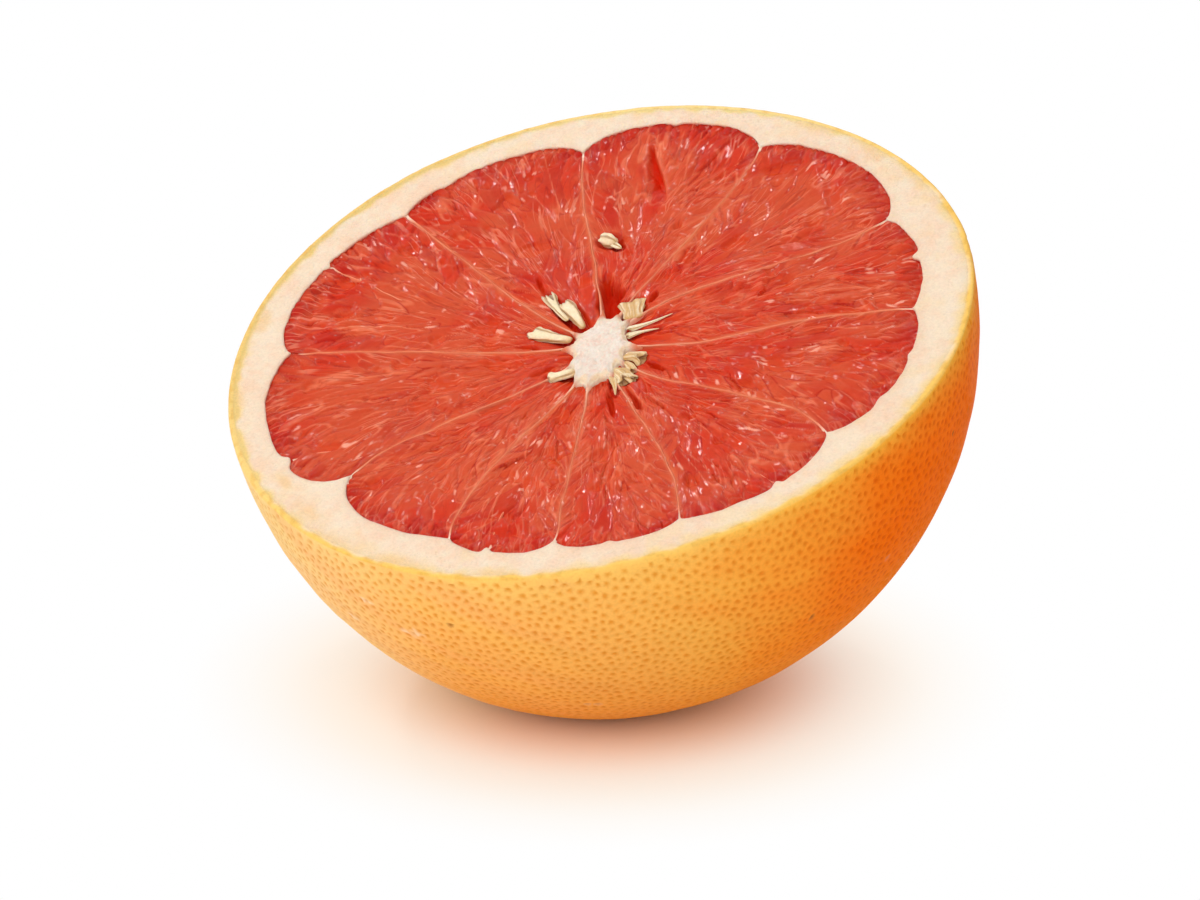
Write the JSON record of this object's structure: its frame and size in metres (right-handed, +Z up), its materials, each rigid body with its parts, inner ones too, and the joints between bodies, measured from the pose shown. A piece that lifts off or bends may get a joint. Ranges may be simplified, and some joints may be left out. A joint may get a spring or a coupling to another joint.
{
  "type": "pomelo half (red grapefruit)",
  "caption": "Half of a red grapefruit cut across its segments, leaning on a small flat spot of its peel, with pale core and undeveloped seeds in the cut face.",
  "frame": {"origin": "centre of the small flat spot of the peel that the half rests on", "axes": "+Z up from the surface it rests on, -Y the way the cut face leans, +X to the right when looking along +Y"},
  "size_m": [0.1039, 0.1008, 0.0697],
  "materials": {
    "peel": "waxy citrus peel, golden to deep orange with darker oil glands",
    "pith": "soft spongy white pith with a faint peach tint",
    "pulp": "wet translucent red juice sacs",
    "membrane": "thin moist segment walls, pale coral",
    "seed": "matt cream to straw seed coat"
  },
  "bodies": {
    "root": {"fruit_half": "peel", "seed_1": "seed", "seed_2": "seed", "seed_3": "seed", "seed_4": "seed", "seed_5": "seed", "seed_6": "seed", "seed_7": "seed", "seed_8": "seed", "seed_9": "seed"}
  },
  "joints": []
}
